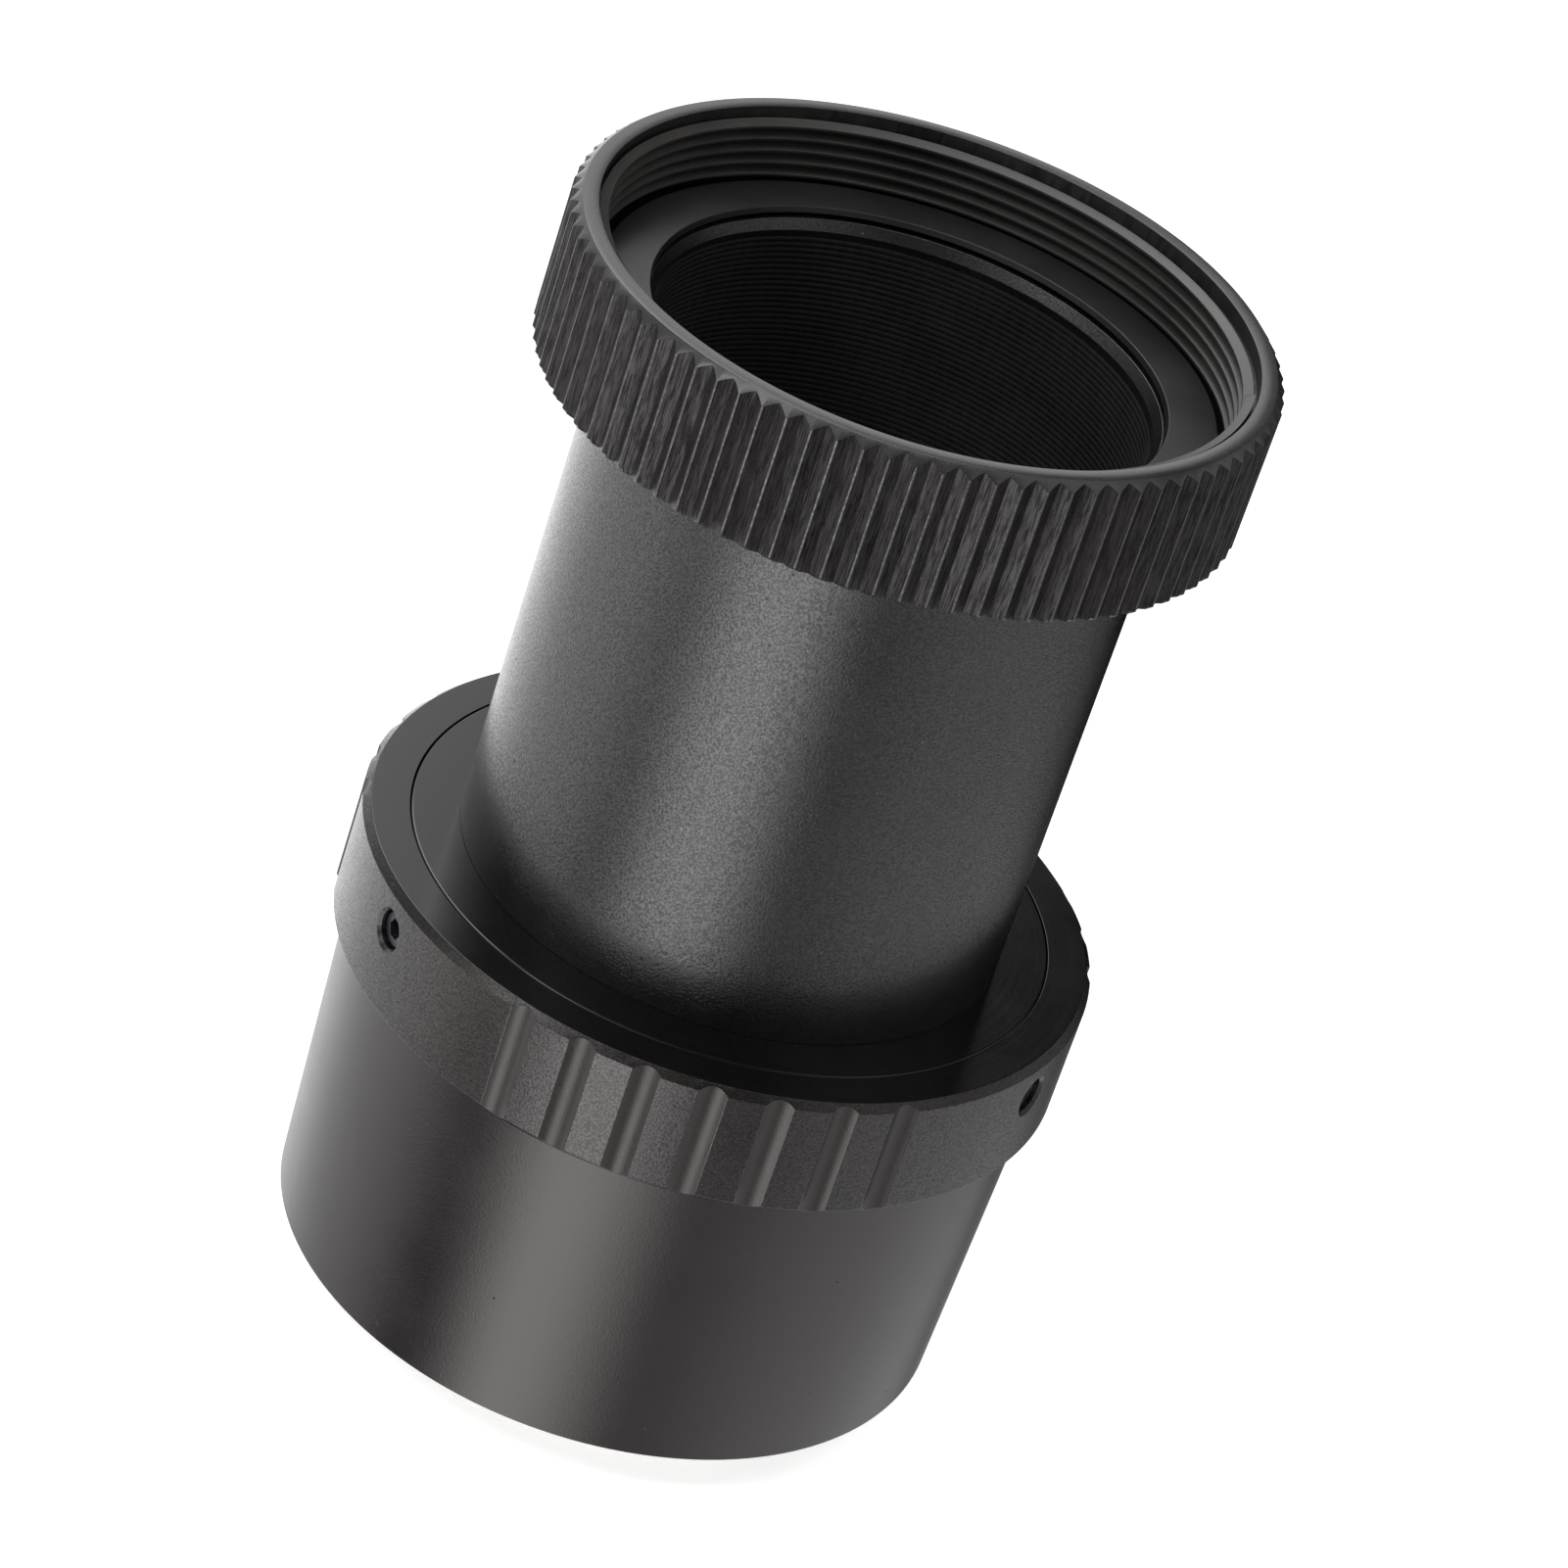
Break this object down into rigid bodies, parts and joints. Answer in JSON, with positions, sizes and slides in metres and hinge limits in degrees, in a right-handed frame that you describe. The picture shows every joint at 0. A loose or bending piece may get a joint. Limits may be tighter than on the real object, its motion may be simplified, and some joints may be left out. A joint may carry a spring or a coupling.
{
  "type": "t-mount adapter",
  "caption": "Straight adapter tube with a knurled captive threaded ring at the telescope end and a fluted camera mount ring with a bayonet at the other.",
  "frame": {"origin": "on the optical axis, in the plane of the bayonet ring that seats on the camera", "axes": "+Z along the optical axis, towards the telescope; +X between two of the set screws"},
  "size_m": [0.06, 0.06, 0.0958],
  "materials": {
    "coupling_ring": "black anodised, bright cut edges, knurled",
    "seat_flange": "black anodised, fine turned",
    "adapter_tube": "black anodised, blasted satin",
    "t_thread_insert": "black anodised, fine turned",
    "grip_ring": "black anodised, satin, milled flutes",
    "set_screw_1": "blackened steel",
    "set_screw_2": "blackened steel",
    "set_screw_3": "blackened steel",
    "rear_barrel": "black anodised, satin",
    "bayonet_mount": "satin chromed brass",
    "bayonet_screws": "bright steel"
  },
  "bodies": {
    "camera_side": {"grip_ring": "grip_ring", "rear_barrel": "rear_barrel", "bayonet_mount": "bayonet_mount", "bayonet_screws": "bayonet_screws"},
    "tube": {"adapter_tube": "adapter_tube", "seat_flange": "seat_flange", "t_thread_insert": "t_thread_insert"},
    "coupling_ring": {"coupling_ring": "coupling_ring"},
    "set_screw_1": {"set_screw_1": "set_screw_1"},
    "set_screw_2": {"set_screw_2": "set_screw_2"},
    "set_screw_3": {"set_screw_3": "set_screw_3"}
  },
  "joints": [
    {"name": "insert_turn", "type": "hinge", "parent": "camera_side", "child": "tube", "pos_m": [0, 0, 0.0373], "axis": [0, 0, 1], "continuous": true},
    {"name": "coupling_ring_turn", "type": "hinge", "parent": "tube", "child": "coupling_ring", "pos_m": [0, 0, 0.0863], "axis": [0, 0, 1], "continuous": true},
    {"name": "set_screw_1_back_out", "type": "slide", "parent": "camera_side", "child": "set_screw_1", "axis": [0.9272, -0.3746, 0], "range_m": [0, 0.0015]},
    {"name": "set_screw_2_back_out", "type": "slide", "parent": "camera_side", "child": "set_screw_2", "axis": [-0.1392, 0.9903, 0], "range_m": [0, 0.0015]},
    {"name": "set_screw_3_back_out", "type": "slide", "parent": "camera_side", "child": "set_screw_3", "axis": [-0.788, -0.6157, 0], "range_m": [0, 0.0015]}
  ]
}
